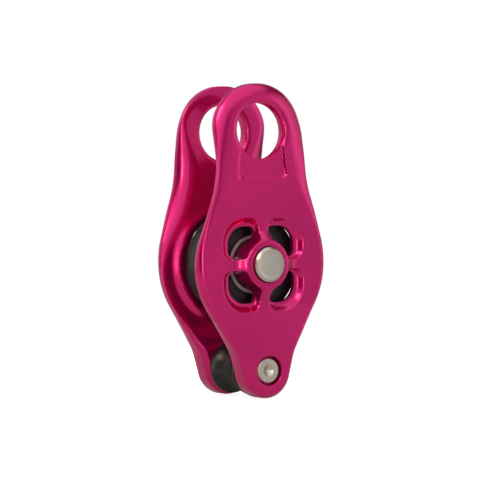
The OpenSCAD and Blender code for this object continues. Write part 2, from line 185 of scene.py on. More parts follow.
# Windows, measured from the axle in the upper right quarter: the rim, and the lip where the ledge ends.
WINDOW_HUB_R = 8.6
WINDOW_RIM = {
    "spoke_x": 2.2, "spoke_z": 2.0, "x": 16.05, "z": 15.7,
    "corner": 8.4, "end": 3.1, "hub": 0.0,
}
WINDOW_LIP = {
    "spoke_x": 2.6, "spoke_z": 2.4, "x": 13.5, "z": 13.1,
    "corner": 6.3, "end": 2.4, "hub": 0.4,
}
WINDOW_ROOT_R = 2.4
WINDOW_ROOT_ANGLE = math.radians(28)
WINDOW_FILLET = 0.7
WINDOW_FILLET_END = math.radians(45)
WINDOW_FILLET_STEPS = 5
LIP_HEIGHT = 12.2
LEDGE_GROWTH = (0.7, 1.4)   # width where a ledge starts to form, and how much wider a full one is
LEDGE_SLOPE = 0.1           # share of a ledge's fall that is an even slope; the rest is hollow
LEDGE_CURVE = (0.25, 0.95)  # where along the ledge the hollow's wall starts to rise, and its span
LEDGE_STEPS = 10
SPOKE_LIP_RISE = 0.3        # height of the lip above the pocket where there is no ledge

# Inner side: the sheave's pocket, the guard bead round it and the valley outside that.
POCKET_R = 18.3
POCKET_FLOOR = 10.5
GUARD_CREST = 8.5
GUARD_CREST_R = 18.9
GUARD_FOOT_R = 22.2
GUARD_INNER_FALL = 0.25     # share of the bead's height lost from its crest to the pocket
VALLEY_DEPTH = 0.8
INNER_BOSS_R = 8.0
INNER_BOSS_FACE = RACE_FACE + 0.3
STEP_WIDTH = 0.12           # half the width of the steep walls of the pocket and the inner boss

# Points round each circle of a side plate.
ROUND = {"eye": 168, "axle": 112, "bolt": 96, "pocket": 140, "inner_boss": 72}
GRID = 0.72                 # spacing of the points inside a face
GRID_CLEARANCE = 0.42       # nearest that such a point comes to an edge loop
NEAR_BATCH = 2000           # points compared at a time

# ---- turned parts, in mm ----

SHEAVE = {"root_r": 12.8, "groove_half": 7.0, "shoulder_r": 9.2, "tip_r": 0.35, "fit": 0.02}
SHEAVE_CHAMFER = 0.25
SHEAVE_RING = (13.0, 13.15, 13.6, 13.75)   # radii of the fine ring turned into each cheek
SHEAVE_RING_DEPTH = 0.12
SHAFT_R = 4.5
SPIGOT_R = 3.0
SHANK_R = 3.0
CAP_BORE_R = 3.02
AXLE_CHAMFER = 0.75
AXLE_FACE_R = 5.1
BOLT_CHAMFER = 0.5
HEAD_EDGE = 0.1             # radius of the broken corners beside a head's chamfer
CORNER_TANGENT = 0.41       # tangent of half the 45 degree turn at such a corner
BLIND_GAP = 0.1             # room past the end of a spigot or a shank in its blind hole
SHOULDER_GAP = 0.1          # how far the axle's shoulder stops short of the cap
BOLT_DIMPLE = (2.0, 1.3)    # rim radius and depth
NUT_DIMPLE = (1.2, 0.6)
SPOOL = {"bore": 3.1, "rim": 1.5, "waist_r": 5.6, "edge": 0.45}


# ---- outlines ----

def corner_arc(before, corner, after, radius, steps):
    """Points of the arc that rounds one corner of a path."""
    to_before = before - corner
    to_after = after - corner
    to_before /= np.hypot(*to_before)
    to_after /= np.hypot(*to_after)
    half = math.acos(np.clip(to_before @ to_after, -1, 1)) / 2
    bisector = to_before + to_after
    centre = corner + bisector / np.hypot(*bisector) * radius / math.sin(half)
    start = corner + to_before * radius / math.tan(half) - centre
    turn = -math.copysign(1, to_before[0] * to_after[1] - to_before[1] * to_after[0])
    angles = math.atan2(start[1], start[0]) + turn * np.linspace(0, math.pi - 2 * half, steps + 1)
    return centre + radius * np.stack([np.cos(angles), np.sin(angles)], 1)


def rounded(path, arc_steps, line_steps, closed=True):
    """A path of (x, z, radius) corners as points: an arc at each corner and even steps between."""
    flat = np.array([p[:2] for p in path], float)
    count = len(path)
    arcs = []
    for i, (_, _, radius) in enumerate(path):
        if not closed and i in (0, count - 1):
            arcs.append(flat[i:i + 1])
            continue
        arcs.append(corner_arc(flat[i - 1], flat[i], flat[(i + 1) % count], radius, arc_steps))
    points = []
    for i in range(count if closed else count - 1):
        ahead = arcs[(i + 1) % count][0]
        share = np.arange(1, line_steps)[:, None] / line_steps
        points += [arcs[i], arcs[i][-1] * (1 - share) + ahead * share]
    if not closed:
        points.append(arcs[-1])
    return np.concatenate(points)


def circle(radius, centre_z, count):
    """An anticlockwise circle round (0, centre_z)."""
    angles = np.arange(count) * 2 * math.pi / count
    return np.stack([radius * np.cos(angles), centre_z + radius * np.sin(angles)], 1)


def inward(loop):
    """Unit normals on the left of an anticlockwise loop, which is its inside."""
    along = np.roll(loop, -1, 0) - np.roll(loop, 1, 0)
    along /= np.hypot(along[:, 0], along[:, 1])[:, None]
    return np.stack([-along[:, 1], along[:, 0]], 1)


def both_halves(half):
    """A path's right half, from the bottom up, with its mirror image after it."""
    return list(half) + [(-x, z, r) for x, z, r in reversed(half)]


def window_loop(size):
    """The window's loop in the upper right quarter, measured from the axle."""
    hub_r = WINDOW_HUB_R + size["hub"]
    sine, cosine = math.sin(WINDOW_ROOT_ANGLE), math.cos(WINDOW_ROOT_ANGLE)
    middle = hub_r / math.cos(math.pi / 4 - WINDOW_ROOT_ANGLE) * math.sqrt(0.5)
    path = [
        (size["x"], size["spoke_z"], size["end"]),
        (size["x"], size["z"], size["corner"]),
        (size["spoke_x"], size["z"], size["end"]),
        (size["spoke_x"], (hub_r - size["spoke_x"] * sine) / cosine, WINDOW_ROOT_R),
        (middle, middle, hub_r),
        ((hub_r - size["spoke_z"] * sine) / cosine, size["spoke_z"], WINDOW_ROOT_R),
    ]
    return rounded(path, arc_steps=12, line_steps=5)


def quarters(loop):
    """A loop of the upper right quarter round the axle, copied to all four and kept anticlockwise."""
    for sx in (1, -1):
        for sz in (1, -1):
            copy = loop * (sx, sz) + (0, AXLE_Z)
            yield copy if sx * sz > 0 else copy[::-1]


def recess_loop(inset):
    """The open line round the recess's left, bottom and right, moved inwards by inset."""
    half_tip = RECESS_HALF["tip"] - inset
    half_bottom = RECESS_HALF["bottom"] - inset
    low = RECESS_BOTTOM_Z + inset
    path = [(-half_tip, RECESS_TIP_Z, 0), (-half_bottom, low, RECESS_R),
            (half_bottom, low, RECESS_R), (half_tip, RECESS_TIP_Z, 0)]
    loop = rounded(path, arc_steps=8, line_steps=16, closed=False)
    return loop[np.hypot(loop[:, 0], loop[:, 1]) > EYE_R + RECESS_EYE_GAP]


# ---- heights of the plate's faces ----

def smooth(t):
    """0 to 1 as t goes from 0 to 1, level at both ends."""
    t = np.clip(t, 0, 1)
    return t * t * (3 - 2 * t)


def rise(t, start, span):
    """0 up to start, and 1 from a span above it."""
    return smooth((t - start) / span)


def fall(t, start, span):
    """0 down to start, and 1 from a span below it."""
    return smooth((start - t) / span)


def soft_max(a, b, blend):
    """The larger of two heights, with the corner where they cross rounded."""
    return (a + b + np.sqrt((a - b) ** 2 + blend ** 2)) / 2


def soft_min(a, b, blend):
    """The smaller of two heights, with the corner where they cross rounded."""
    return -soft_max(-a, -b, blend)


def quarter_roll(distance, width, depth):
    """Drop of a rolled edge at a distance in from the edge: a quarter of an ellipse."""
    t = np.clip(1 - distance / width, 0, 1)
    return depth * (1 - np.sqrt(1 - t * t))


def recess_depth_at(x, z):
    """Share of the recess's depth at a place: 0 outside it, 1 on its floor."""
    share = (RECESS_TIP_Z - z) / (RECESS_TIP_Z - RECESS_BOTTOM_Z)
    half = RECESS_HALF["tip"] + share * (RECESS_HALF["bottom"] - RECESS_HALF["tip"])
    from_side = np.clip(RECESS_R - half + np.abs(x), 0, None)
    from_bottom = np.clip(RECESS_R - z + RECESS_BOTTOM_Z, 0, None)
    inside = RECESS_R - np.hypot(from_side, from_bottom)
    return smooth(inside / RECESS_WALL) * fall(z, RECESS_TOP_Z, RECESS_TOP_FADE)


def between(t, low, high, blend_low, blend_high):
    """1 between low and high, fading to 0 over the two blends outside them."""
    return smooth((t - low) / blend_low + 1) * smooth((high - t) / blend_high + 1)


def edge_shape(above):
    """The outline's edge at a height above the axle: the middle and half thickness of its side wall,
    and the widths of its outer and inner rolls. The edge lies far out at the waist, below the eye."""
    waist = between(above, *WAIST_WALL)
    nose = fall(above, *NOSE_EDGE)
    middle = WALL_MIDDLE["plain"] + WALL_MIDDLE["waist"] * waist
    middle = middle + WALL_MIDDLE["head"] * rise(above, *HEAD_WALL) + WALL_MIDDLE["nose"] * nose
    half = WALL_HALF["plain"] + WALL_HALF["waist"] * waist + WALL_HALF["nose"] * nose
    outer_width = OUTER_ROLL["plain"] + OUTER_ROLL["head"] * rise(above, *HEAD_ROLL)
    outer_width = outer_width + OUTER_ROLL["nose"] * nose
    inner_width = INNER_ROLL["plain"] + INNER_ROLL["waist"] * between(above, *WAIST_ROLL)
    inner_width = inner_width + INNER_ROLL["nose"] * nose
    return middle, half, outer_width, inner_width


def outer_face(x, z):
    """Height of the plate's outer face."""
    above = z - AXLE_Z
    level = FACE_OUTER + WAIST_RISE * rise(above, *WAIST_LEVEL) - HEAD_FALL * rise(above, *HEAD_LEVEL)
    level = level + (NOSE_OUTER - FACE_OUTER) * fall(above, *NOSE_LEVEL)
    ramp = BOSS_OUTER - BOSS_SLOPE * (np.hypot(x, above) - BOSS_CREST_R)
    boss = soft_min(BOSS_OUTER, ramp, BOSS_CREST_BLEND)
    face = soft_max(level, boss, BOSS_FOOT_BLEND)
    rim = quarter_roll(np.hypot(x, z) - EYE_R, *EYE_ROLL)
    recess = recess_depth_at(x, z)
    return (face - rim) * (1 - recess) + (level - RECESS_DEPTH) * recess


def inner_face(x, z):
    """Height of the plate's inner face, on the sheave's side."""
    above = z - AXLE_Z
    radius = np.hypot(x, above)
    level = FACE_INNER + VALLEY_DEPTH * between(above, *VALLEY)
    towards_pocket = (GUARD_CREST_R - radius) / (GUARD_CREST_R - POCKET_R)
    towards_foot = np.clip((radius - GUARD_CREST_R) / (GUARD_FOOT_R - GUARD_CREST_R), 0, 1)
    guard = np.where(
        radius < GUARD_CREST_R,
        1 - GUARD_INNER_FALL * towards_pocket ** 2,
        0.5 + 0.5 * np.cos(math.pi * towards_foot),
    )
    face = level - (level - GUARD_CREST) * guard
    face = face - (FACE_INNER - NOSE_INNER) * fall(z - BOLT_Z, *NOSE_PAD)
    face = np.where(radius < POCKET_R, POCKET_FLOOR, face)
    face = np.where(radius < INNER_BOSS_R, INNER_BOSS_FACE, face)
    return face + quarter_roll(np.hypot(x, z) - EYE_R, *INNER_EYE_ROLL)


# ---- meshes ----

def inside(points, loop):
    """Which points lie inside a closed loop."""
    result = np.zeros(len(points), bool)
    for a, b in zip(loop, np.roll(loop, -1, 0)):
        if a[1] == b[1]:
            continue
        crosses = (a[1] > points[:, 1]) != (b[1] > points[:, 1])
        at = a[0] + (points[:, 1] - a[1]) * (b[0] - a[0]) / (b[1] - a[1])
        result ^= crosses & (points[:, 0] < at)
    return result


def near(points, others, reach):
    """Which points lie within reach of any of the others."""
    result = np.zeros(len(points), bool)
    for start in range(0, len(points), NEAR_BATCH):
        part = points[start:start + NEAR_BATCH]
        gap = ((part[:, None, :] - others[None, :, :]) ** 2).sum(2).min(1)
        result[start:start + NEAR_BATCH] = gap < reach * reach
    return result


class Shell:
    """Collects rings, the strips between them and the faces that close them, in the drawing frame."""

    def __init__(self):
        self.points = []
        self.faces = []

    def ring(self, loop, height):
        """Adds a closed loop at a height and returns its points' numbers."""
        first = len(self.points)
        heights = np.broadcast_to(height, len(loop))
        self.points += [(x, z, h) for (x, z), h in zip(loop, heights)]
        return list(range(first, len(self.points)))

    def strip(self, one, other):
        """Closes the space between two rings of equal length."""
        for i in range(len(one)):
            j = (i + 1) % len(one)
            self.faces.append((one[i], one[j], other[j], other[i]))

    def tube(self, rings):
        """Adds (loop, height) rings joined by strips and returns the first and last ring."""
        numbers = [self.ring(loop, height) for loop, height in rings]
        for one, other in zip(numbers, numbers[1:]):
            self.strip(one, other)
        return numbers[0], numbers[-1]

    def cover(self, outline, holes, lines, height):
        """Closes a face between an outline ring and hole rings, at a height that depends on the place.
        Each line is (points, closed): an edge that the face's triangles follow."""
        rings = [outline] + holes
        coords, edges, numbers = [], [], []
        for ring in rings:
            first = len(coords)
            coords += [self.points[i][:2] for i in ring]
            numbers += ring
            edges += [(first + i, first + (i + 1) % len(ring)) for i in range(len(ring))]
        loops = [np.array([self.points[i][:2] for i in ring]) for ring in rings]
        for points, closed in lines:
            first = len(coords)
            coords += [tuple(p) for p in points]
            last = len(points) if closed else len(points) - 1
            edges += [(first + i, first + (i + 1) % len(points)) for i in range(last)]
        grid = self.grid(loops)
        grid = grid[~near(grid, np.array(coords), GRID_CLEARANCE)]
        coords += [tuple(p) for p in grid]
        tolerance = 1e-6
        made, _, triangles, origins, _, _ = delaunay_2d_cdt(
            [Vector(p) for p in coords], edges, [], 0, tolerance)
        where = np.array([(v.x, v.y) for v in made])
        known = {i: numbers[min(o)] for i, o in enumerate(origins) if o and min(o) < len(numbers)}
        triangles = np.array(triangles)
        middles = where[triangles].mean(1)
        keep = inside(middles, loops[0])
        for hole in loops[1:]:
            keep &= ~inside(middles, hole)
        heights = height(where[:, 0], where[:, 1])
        for triangle in triangles[keep]:
            corners = []
            for i in map(int, triangle):
                if i not in known:
                    known[i] = len(self.points)
                    self.points.append((where[i][0], where[i][1], heights[i]))
                corners.append(known[i])
            self.faces.append(tuple(corners))

    def grid(self, loops):
        """Staggered points inside the first loop and outside the others."""
        low, high = loops[0].min(0), loops[0].max(0)
        row_step = GRID * math.sqrt(0.75)
        rows = np.arange(low[1], high[1], row_step)
        points = np.array([
            (x, z) for k, z in enumerate(rows)
            for x in np.arange(low[0] + (k % 2) * GRID / 2, high[0], GRID)])
        keep = inside(points, loops[0])
        for hole in loops[1:]:
            keep &= ~inside(points, hole)
        return points[keep]


def make_piece(name, points, faces, side, sharp_degrees=32):
    """A smooth mesh object from drawing-frame points. Faces that meet sharply keep their edge."""
    mesh = bpy.data.meshes.new(name)
    mesh.from_pydata([(x * MM, side * h * MM, z * MM) for x, z, h in points], [], faces)
    shape = bmesh.new()
    shape.from_mesh(mesh)
    bmesh.ops.remove_doubles(shape, verts=shape.verts, dist=1e-7)
    bmesh.ops.dissolve_degenerate(shape, edges=shape.edges, dist=1e-8)
    bmesh.ops.recalc_face_normals(shape, faces=shape.faces)
    shape.to_mesh(mesh)
    shape.free()
    mesh.polygons.foreach_set("use_smooth", [True] * len(mesh.polygons))
    mesh.set_sharp_from_angle(angle=math.radians(sharp_degrees))
    piece = bpy.data.objects.new(name, mesh)
    bpy.context.scene.collection.objects.link(piece)
    return piece


def roll_rings(loop, wall, width, face):
    """Rings of the outline's rolled edge, from the edge of the side wall up to the face."""
    depth = face(loop[:, 0], loop[:, 1]) - wall
    normals = inward(loop)
    rings = []
    for angle in np.linspace(0, math.pi / 2, ROLL_STEPS + 1):
        share = 1 - abs(math.cos(angle)) ** ROLL_POWER
        place = loop + normals * (width * share)[:, None]
        drop = depth * (1 - math.sin(angle) ** ROLL_POWER)
        rings.append((place, face(place[:, 0], place[:, 1]) - drop))
    return rings


def hole_rings(hole, centre_z, count, inner_height):
    """Rings of a counterbored hole, from the outer face's edge to the inner face."""
    edge = hole["edge"]
    rings = []
    for angle in np.linspace(math.pi / 2, 0, HOLE_EDGE_STEPS + 1):
        place = circle(hole["r"] + edge * (1 - math.cos(angle)), centre_z, count)
        drop = edge * (1 - math.sin(angle))
        rings.append((place, outer_face(place[:, 0], place[:, 1]) - drop))
    rings.append((circle(hole["r"], centre_z, count), hole["seat"]))
    rings.append((circle(hole["bore"], centre_z, count), hole["seat"]))
    rings.append((circle(hole["bore"], centre_z, count), inner_height))
    return rings


def window_rings(rim, lip):
    """Rings of one window: the rim's fillet, the hollow ledge, its lip and the wall to the pocket.
    Beside the hub and the spokes there is no ledge, and the wall runs straight down."""
    normals = -inward(rim)
    rings = []
    for angle in np.linspace(math.pi / 2, WINDOW_FILLET_END, WINDOW_FILLET_STEPS + 1):
        place = rim + normals * WINDOW_FILLET * (1 - math.cos(angle))
        drop = WINDOW_FILLET * (1 - math.sin(angle))
        rings.append((place, outer_face(place[:, 0], place[:, 1]) - drop))
    start, high = rings[-1]
    ledge = rise(np.hypot(*(rim - lip).T), *LEDGE_GROWTH)
    low = LIP_HEIGHT * ledge + (POCKET_FLOOR + SPOKE_LIP_RISE) * (1 - ledge)
    for left in np.linspace(1, 0, LEDGE_STEPS + 1)[1:]:
        hollow = LEDGE_SLOPE * left
        hollow = hollow + (1 - LEDGE_SLOPE) * rise(left, *LEDGE_CURVE) / rise(1, *LEDGE_CURVE)
        height = low + (high - low) * (hollow * ledge + left * (1 - ledge))
        rings.append((lip + (start - lip) * left, height))
    rings.append((lip, POCKET_FLOOR))
    return rings


def side_plate(name, side):
    """One side plate: rolled outline, eye, counterbored holes, windows, outer and inner face."""
    shell = Shell()
    corners = both_halves([(x, z + AXLE_Z, r) for x, z, r in OUTLINE])
    outline = rounded(corners, arc_steps=32, line_steps=6)
    middle, half, outer_width, inner_width = edge_shape(outline[:, 1] - AXLE_Z)
    outer = roll_rings(outline, middle + half, outer_width, outer_face)
    inner = roll_rings(outline, middle - half, inner_width, inner_face)
    inner_edge, outer_edge = shell.tube(inner[::-1] + outer)
    eye = circle(EYE_R, 0, ROUND["eye"])
    eye_outer, eye_inner = shell.tube([
        (eye, outer_face(eye[:, 0], eye[:, 1])), (eye, inner_face(eye[:, 0], eye[:, 1]))])
    axle_outer, axle_inner = shell.tube(hole_rings(AXLE_HOLE, AXLE_Z, ROUND["axle"], INNER_BOSS_FACE))
    bolt_outer, bolt_inner = shell.tube(hole_rings(BOLT_HOLE, BOLT_Z, ROUND["bolt"], NOSE_INNER))
    outer_holes = [eye_outer, axle_outer, bolt_outer]
    inner_holes = [eye_inner, axle_inner, bolt_inner]
    windows = zip(quarters(window_loop(WINDOW_RIM)), quarters(window_loop(WINDOW_LIP)))
    for rim, lip in windows:
        first, last = shell.tube(window_rings(rim, lip))
        outer_holes.append(first)
        inner_holes.append(last)

    roll_angles = np.linspace(0, math.pi / 2, ROLL_STEPS + 1)[1:]
    roll_radii = [EYE_R + EYE_ROLL[0] * (1 - math.cos(a)) for a in roll_angles]
    eye_lines = [(circle(r, 0, ROUND["eye"]), True) for r in roll_radii]
    recess_lines = [(recess_loop(inset), False) for inset in np.linspace(0, RECESS_WALL, RECESS_LINES)]
    step_lines = [
        (circle(radius + offset, AXLE_Z, ROUND[which]), True)
        for which, radius in (("pocket", POCKET_R), ("inner_boss", INNER_BOSS_R))
        for offset in (STEP_WIDTH, -STEP_WIDTH)]
    shell.cover(outer_edge, outer_holes, eye_lines + recess_lines, outer_face)
    shell.cover(inner_edge, inner_holes, eye_lines + step_lines, inner_face)
    return make_piece(name, shell.points, shell.faces, side)


# ---- turned parts ----

def lathe(name, profile, centre_z, side=FRONT, steps=144):
    """A turned piece: a closed profile of (radius, h) points, revolved about the line at centre_z."""
    shell = Shell()
    numbers = [shell.ring(circle(radius, centre_z, steps), h) for radius, h in profile]
    for one, other in zip(numbers, numbers[1:] + numbers[:1]):
        shell.strip(one, other)
    return make_piece(name, shell.points, shell.faces, side, sharp_degrees=28)


def arc(centre_r, centre_h, radius, start, end, steps):
    """Points of an arc in a profile. The angles are in degrees, from the outward radius towards +h."""
    angles = np.radians(np.linspace(start, end, steps + 1))
    return [(centre_r + radius * math.cos(a), centre_h + radius * math.sin(a)) for a in angles]


def hollow_arc(root_r, half_width, sag, steps):
    """Points of the groove round a turned piece: its mouth lies sag above its root."""
    radius = (half_width * half_width + sag * sag) / (2 * sag)
    reach = math.degrees(math.asin(half_width / radius))
    return arc(root_r + radius, 0, radius, 180 - reach, 180 + reach, steps)


def other_side(profile):
    """A stretch of a profile mirrored to the other side of the mid-plane, in reverse order."""
    return [(radius, -h) for radius, h in reversed(profile)]


def chamfered_end(radius, face, chamfer):
    """Profile of a turned head's chamfer, from its side to its face, with both corners just broken."""
    edge = HEAD_EDGE
    set_back = edge * CORNER_TANGENT
    return (arc(radius - edge, face - chamfer - set_back, edge, 0, 45, steps=4)
            + arc(radius - chamfer - set_back, face - edge, edge, 45, 90, steps=4))


def turned_face(radius, face):
    """A head's face: a fine step, then a shallow dish to the centre."""
    return [(radius, face), (radius - 0.12, face - 0.03), (radius * 0.66, face - 0.04),
            (radius * 0.33, face - 0.05), (0, face - 0.055)]


def dimple(face, rim_r, depth):
    """The conical centre dimple of a bolt or nut, from its rim to its tip."""
    return [(rim_r + 0.08, face), (rim_r - 0.04, face - 0.1), (rim_r * 0.5, face - depth * 0.56),
            (0.18, face - depth * 0.96), (0, face - depth)]


def axle_head():
    """Profile of the axle's head, and of the cap's, from the foot of its side to its centre."""
    foot = [(AXLE_HEAD_R, AXLE_HOLE["seat"])]
    chamfer = chamfered_end(AXLE_HEAD_R, AXLE_HEAD_OUTER, AXLE_CHAMFER)
    return foot + chamfer + turned_face(AXLE_FACE_R, AXLE_HEAD_OUTER)


def bolt_head(dimple_size):
    """Profile of the bolt's head, and of the nut, from the foot of its side to its centre."""
    foot = [(BOLT_HEAD_R, BOLT_HOLE["seat"])]
    chamfer = chamfered_end(BOLT_HEAD_R, BOLT_HEAD_OUTER, BOLT_CHAMFER)
    return foot + chamfer + dimple(BOLT_HEAD_OUTER, *dimple_size)


def sheave_piece():
    """The grooved wheel, with a seat for each bearing and a fine ring in each cheek."""
    tip = SHEAVE["tip_r"]
    seat = RACE_R + SHEAVE["fit"]
    sag = SHEAVE_R - tip - SHEAVE["root_r"]
    groove = hollow_arc(SHEAVE["root_r"], SHEAVE["groove_half"], sag, steps=48)
    ring = zip(SHEAVE_RING, (0, SHEAVE_RING_DEPTH, SHEAVE_RING_DEPTH, 0))
    cheek = (
        [(SHEAVE["shoulder_r"], RACE_BACK), (seat, RACE_BACK), (seat, SHEAVE_HALF - SHEAVE_CHAMFER)]
        + [(seat + SHEAVE_CHAMFER, SHEAVE_HALF)]
        + [(radius, SHEAVE_HALF - depth) for radius, depth in ring]
        + arc(SHEAVE_R - tip, SHEAVE_HALF - tip, tip, 90, 10, steps=6)
    )
    return lathe("grooved_sheave", cheek + groove + other_side(cheek), AXLE_Z, steps=192)


def axle_piece():
    """The main axle: its head in the front plate, the shaft, and the spigot that the cap holds."""
    seat = AXLE_HOLE["seat"]
    shoulder = -seat + SHOULDER_GAP
    profile = [
        (0, -SPIGOT_END), (SPIGOT_R - 0.2, -SPIGOT_END), (SPIGOT_R, -SPIGOT_END + 0.2),
        (SPIGOT_R, shoulder), (SHAFT_R, shoulder), (SHAFT_R, seat),
    ]
    return lathe("turned_axle", profile + axle_head(), AXLE_Z)


def axle_cap_piece():
    """The cap on the axle's spigot, in the rear plate."""
    hole_end = SPIGOT_END + BLIND_GAP
    hole = [(0, hole_end), (CAP_BORE_R, hole_end), (CAP_BORE_R, AXLE_HOLE["seat"])]
    profile = axle_head() + hole
    return lathe("turned_axle_cap", profile, AXLE_Z, REAR)


def bolt_piece():
    """The becket bolt, its head in the front nose."""
    profile = [
        (0, -BOLT_END), (SHANK_R - 0.4, -BOLT_END), (SHANK_R, -BOLT_END + 0.4),
        (SHANK_R, BOLT_HOLE["seat"]),
    ]
    return lathe("turned_becket_bolt", profile + bolt_head(BOLT_DIMPLE), BOLT_Z)


def nut_piece():
    """The nut on the becket bolt, in the rear nose."""
    hole_end = BOLT_END + BLIND_GAP
    hole = [(0, hole_end), (CAP_BORE_R, hole_end), (CAP_BORE_R, BOLT_HOLE["seat"])]
    profile = bolt_head(NUT_DIMPLE) + hole
    return lathe("turned_becket_nut", profile, BOLT_Z, REAR)


def spool_piece():
    """The waisted becket spacer between the two noses."""
    half = NOSE_INNER
    waist_half = half - SPOOL["rim"]
    edge = SPOOL["edge"]
    hollow = hollow_arc(SPOOL["waist_r"], waist_half, SPACER_R - edge - SPOOL["waist_r"], steps=40)
    rim = arc(SPACER_R - edge, half - edge, edge, 90, 0, steps=6) + [(SPACER_R, waist_half + 0.25)]
    profile = [(SPOOL["bore"], -half), (SPOOL["bore"], half)] + rim + hollow + other_side(rim)
    return lathe("waisted_spool", profile, BOLT_Z)


# ---- materials ----

class Finish:
    """A Principled material with the object's own coordinates at hand."""

    def __init__(self, name, metallic, roughness, **constants):
        self.material = bpy.data.materials.new(name)
        self.material.use_nodes = True
        self.tree = self.material.node_tree
        self.shader = self.tree.nodes["Principled BSDF"]
        self.shader.inputs["Metallic"].default_value = metallic
        self.shader.inputs["Roughness"].default_value = roughness
        for socket, value in constants.items():
            self.shader.inputs[socket.replace("_", " ")].default_value = value
        self.place = self.add("ShaderNodeTexCoord").outputs["Object"]

    def add(self, kind, inputs=None, **settings):
        """Adds a node. An input is either a constant or another node's output."""
        node = self.tree.nodes.new(kind)
        for key, value in settings.items():
            setattr(node, key, value)
        for key, value in (inputs or {}).items():
            if isinstance(value, bpy.types.NodeSocket):
                self.tree.links.new(value, node.inputs[key])
            else:
                node.inputs[key].default_value = value
        return node

    def noise(self, scale, detail=3, stretch=(1, 1, 1)):
        """Noise with about `scale` features a metre, stretched along an axis with a small factor."""
        mapped = self.add("ShaderNodeMapping", {"Vector": self.place, "Scale": stretch})
        inputs = {"Vector": mapped.outputs[0], "Scale": scale, "Detail": detail}
        return self.add("ShaderNodeTexNoise", inputs).outputs["Fac"]

    def ramp(self, value, low, high, to_low, to_high):
        """Maps a value from one range to another."""
        inputs = {"Value": value, "From Min": low, "From Max": high, "To Min": to_low, "To Max": to_high}
        return self.add("ShaderNodeMapRange", inputs).outputs["Result"]

    def radius(self, centre_z_mm):
        """Distance from the turned piece's own axis, in metres."""
        kind = "ShaderNodeVectorMath"
        shifted = self.add(kind, {0: self.place, 1: (0, 0, -centre_z_mm * MM)}, operation="ADD")
        flat = self.add(kind, {0: shifted.outputs[0], 1: (1, 0, 1)}, operation="MULTIPLY")
        return self.add(kind, {0: flat.outputs[0]}, operation="LENGTH").outputs["Value"]

    def math(self, operation, a, b=0.0):
        """The result of a sum, a product or another operation on one or two values."""
        return self.add("ShaderNodeMath", {0: a, 1: b}, operation=operation).outputs[0]

    def colour(self, one, other, share):
        """Mixes the base colour from two, with a share of the second."""
        mixed = self.add("ShaderNodeMix", {0: share, 6: (*one, 1), 7: (*other, 1)}, data_type="RGBA")
        self.tree.links.new(mixed.outputs[2], self.shader.inputs["Base Color"])

    def roughness(self, value):
        """Takes the roughness from a node's output."""
        self.tree.links.new(value, self.shader.inputs["Roughness"])

    def bump(self, *layers):
        """Adds bump layers, each (height, depth in metres)."""
        normal = None
        for height, depth in layers:
            inputs = {"Height": height, "Strength": 1.0, "Distance": depth}
            if normal is not None:
                inputs["Normal"] = normal
            normal = self.add("ShaderNodeBump", inputs).outputs["Normal"]
        self.tree.links.new(normal, self.shader.inputs["Normal"])


def anodised_magenta():
    """Bright magenta anodised aluminium: blasted grain under a clear sealed surface, and faint
    handling marks. Its convex edges are lighter, partly from wear and partly as a painted highlight,
    and painted light makes it a little paler towards the upper left, the side that the light falls on."""
    f = Finish("anodised_magenta", 0.78, 0.26, Coat_Weight=0.5, Coat_Roughness=0.08, Coat_IOR=1.5)
    clouds = f.noise(70, 2)
    grain = f.noise(5200, 2)
    scuffs = f.noise(900, 4, stretch=(1, 1, 0.06))
    edges = f.add("ShaderNodeNewGeometry").outputs["Pointiness"]
    # Lighter convex edges where scuffed: partly rubbed wear, partly a painted highlight along the rims.
    edge_wear_and_highlight = f.math("MULTIPLY", f.ramp(edges, 0.53, 0.62, 0, 1), f.ramp(scuffs, 0.45, 0.7, 0, 0.35))
    # Painted light: the colour turns paler towards the upper left, the side that the light falls on.
    across = f.add("ShaderNodeVectorMath", {0: f.place, 1: (-0.8, 0, 0.6)}, operation="DOT_PRODUCT")
    painted_light_upper_left = f.ramp(across.outputs["Value"], -35 * MM, 0, 0, 0.8)
    share = f.math("ADD", f.math("ADD", f.ramp(clouds, 0.35, 0.65, 0, 0.25), painted_light_upper_left), edge_wear_and_highlight)
    f.colour((0.60, 0.0005, 0.15), (0.72, 0.005, 0.175), share)
    f.roughness(f.math("ADD", f.ramp(clouds, 0.3, 0.7, 0.2, 0.25), f.ramp(scuffs, 0.6, 0.85, 0, 0.08)))
    f.bump((grain, 0.0000014), (scuffs, 0.0000008))
    return f.material


def turned_steel(name, centre_z, pitch_mm, colour, roughness):
    """Stainless steel with fine turning rings round its axis."""
    f = Finish(name, 1.0, roughness)
    radius = f.radius(centre_z)
    wander = f.ramp(f.noise(400, 2), 0, 1, -0.6, 0.6)
    turns = f.math("MULTIPLY", radius, 2 * math.pi / (pitch_mm * MM))
    rings = f.math("SINE", f.math("ADD", turns, wander))
    stain = f.noise(300, 3)
    dark = tuple(c * 0.94 for c in colour)
    f.colour(dark, colour, f.ramp(stain, 0.3, 0.7, 0.2, 1))
    f.roughness(f.ramp(stain, 0.3, 0.7, roughness - 0.04, roughness + 0.06))
    f.bump((rings, 0.0000004), (f.noise(900, 2), 0.0000004))
    return f.material


def hard_anodised():
    """Dark grey hard-anodised aluminium with turning marks."""
    f = Finish("hard_anodised_grey", 0.85, 0.38)
    rings = f.math("SINE", f.math("MULTIPLY", f.radius(AXLE_Z), 2 * math.pi / (0.16 * MM)))
    blotches = f.noise(420, 4)
    f.colour((0.030, 0.033, 0.035), (0.046, 0.051, 0.053), f.ramp(blotches, 0.3, 0.7, 0, 1))
    f.roughness(f.ramp(blotches, 0.3, 0.7, 0.32, 0.44))
    f.bump((rings, 0.0000012), (f.noise(3800, 2), 0.000002))
    return f.material


